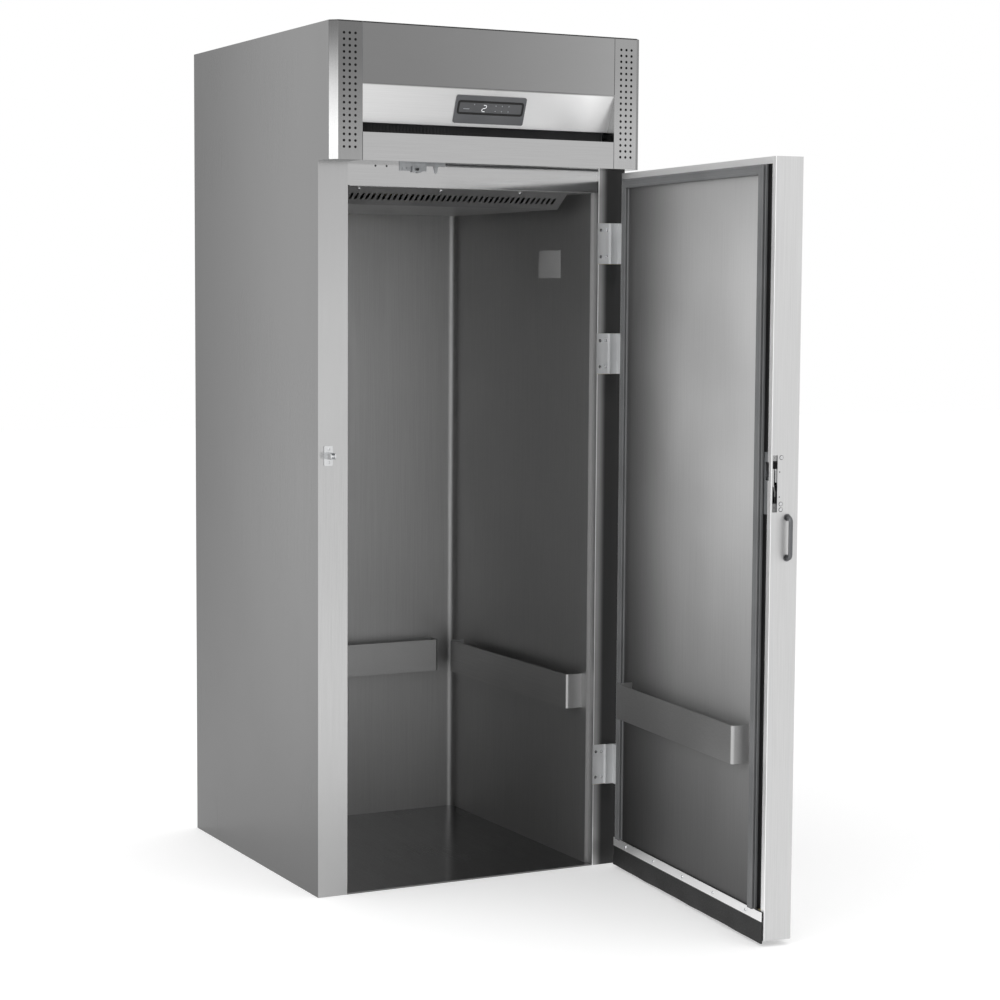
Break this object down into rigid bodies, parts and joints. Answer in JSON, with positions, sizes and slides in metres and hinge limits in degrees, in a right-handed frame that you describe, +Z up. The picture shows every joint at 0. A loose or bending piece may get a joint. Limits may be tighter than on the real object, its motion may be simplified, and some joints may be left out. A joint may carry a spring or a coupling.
{
  "type": "roll-in refrigerator",
  "caption": "Stainless roll-in upright refrigerator with one tall hinged door standing open, inner bumper strips, a tilted display panel and perforated corner posts.",
  "frame": {"origin": "Centre of the cabinet's footprint, on the floor", "axes": "+X to the hinge side (right, seen from the front), +Y to the back, +Z up"},
  "size_m": [0.8986, 1.7835, 2.15],
  "materials": {
    "stainless": "fine brushed",
    "galvanised": "dull zinc",
    "bright_steel": "polished",
    "cast_chrome": "satin",
    "aluminium_skin": "embossed sheet",
    "aluminium_fins": "bare",
    "copper": "dull tube",
    "black_paint": "satin",
    "foam": "closed cells",
    "black_plastic": "matt",
    "grey_plastic": "matt",
    "black_gloss": "gloss",
    "rubber": "matt"
  },
  "bodies": {
    "cabinet": {"side_panel_left": "stainless", "side_panel_right": "stainless", "back_panel": "galvanised", "insulation_left": "foam", "insulation_right": "foam", "insulation_back": "foam", "insulation_top": "foam", "liner": "stainless", "ceiling_panel": "stainless", "floor_plate": "stainless", "stile_left": "stainless", "stile_right": "stainless", "header": "stainless", "bumper_left": "stainless", "bumper_right": "stainless", "bumper_back": "stainless", "evaporator_cover": "stainless", "evaporator_cover_screws": "bright_steel", "evaporator_housing": "aluminium_skin", "evaporator_coil": "aluminium_fins", "evaporator_fan_motor": "black_paint", "machine_deck": "galvanised", "unit_tray": "galvanised", "compressor": "black_paint", "compressor_feet": "rubber", "condenser_coil": "aluminium_fins", "fan_shroud": "galvanised", "condenser_fan_motor": "black_paint", "filter_drier": "copper", "refrigerant_pipes": "copper", "electrical_box": "galvanised", "cable_gland": "black_plastic", "rear_grille": "galvanised", "fascia_upper": "stainless", "fascia_lower": "stainless", "vent_post_left": "stainless", "vent_post_right": "stainless", "display_bezel": "grey_plastic", "display_window": "black_gloss", "hinge_plates": "cast_chrome", "hinge_pins": "bright_steel", "striker": "bright_steel", "door_switch": "stainless"},
    "door": {"door_pan": "stainless", "door_core": "foam", "door_liner": "stainless", "door_breaker": "black_plastic", "door_gasket": "rubber", "door_sweep": "rubber", "sweep_strip": "stainless", "door_bumper": "stainless", "latch_case": "galvanised", "latch_guides": "bright_steel", "pull_handle": "bright_steel", "hinge_leaves": "cast_chrome", "door_screws": "bright_steel"},
    "latch": {"latch_hook": "bright_steel"},
    "switch": {"switch_plunger": "black_plastic"},
    "condenser_fan_rotor": {"condenser_fan": "aluminium_skin"},
    "evaporator_fan_rotor": {"evaporator_fan": "black_plastic"}
  },
  "joints": [
    {"name": "door_swing", "type": "hinge", "parent": "cabinet", "child": "door", "pos_m": [0.416, -0.463, 0.9], "axis": [0, 0, 1], "range_deg": [-84.35, 25]},
    {"name": "latch_turn", "type": "hinge", "parent": "door", "child": "latch", "pos_m": [0.36015, -1.28148, 1.084], "axis": [-0.0985, -0.9951, 0], "range_deg": [-22, 0]},
    {"name": "switch_press", "type": "slide", "parent": "cabinet", "child": "switch", "axis": [0, 1, 0], "range_m": [0, 0.003], "stiffness_N_per_m": 200},
    {"name": "condenser_fan_spin", "type": "hinge", "parent": "cabinet", "child": "condenser_fan_rotor", "pos_m": [0.226, -0.32, 1.954], "axis": [0, 1, 0], "continuous": true},
    {"name": "evaporator_fan_spin", "type": "hinge", "parent": "cabinet", "child": "evaporator_fan_rotor", "pos_m": [-0.026, -0.049, 1.81], "axis": [0, 0, 1], "continuous": true}
  ]
}
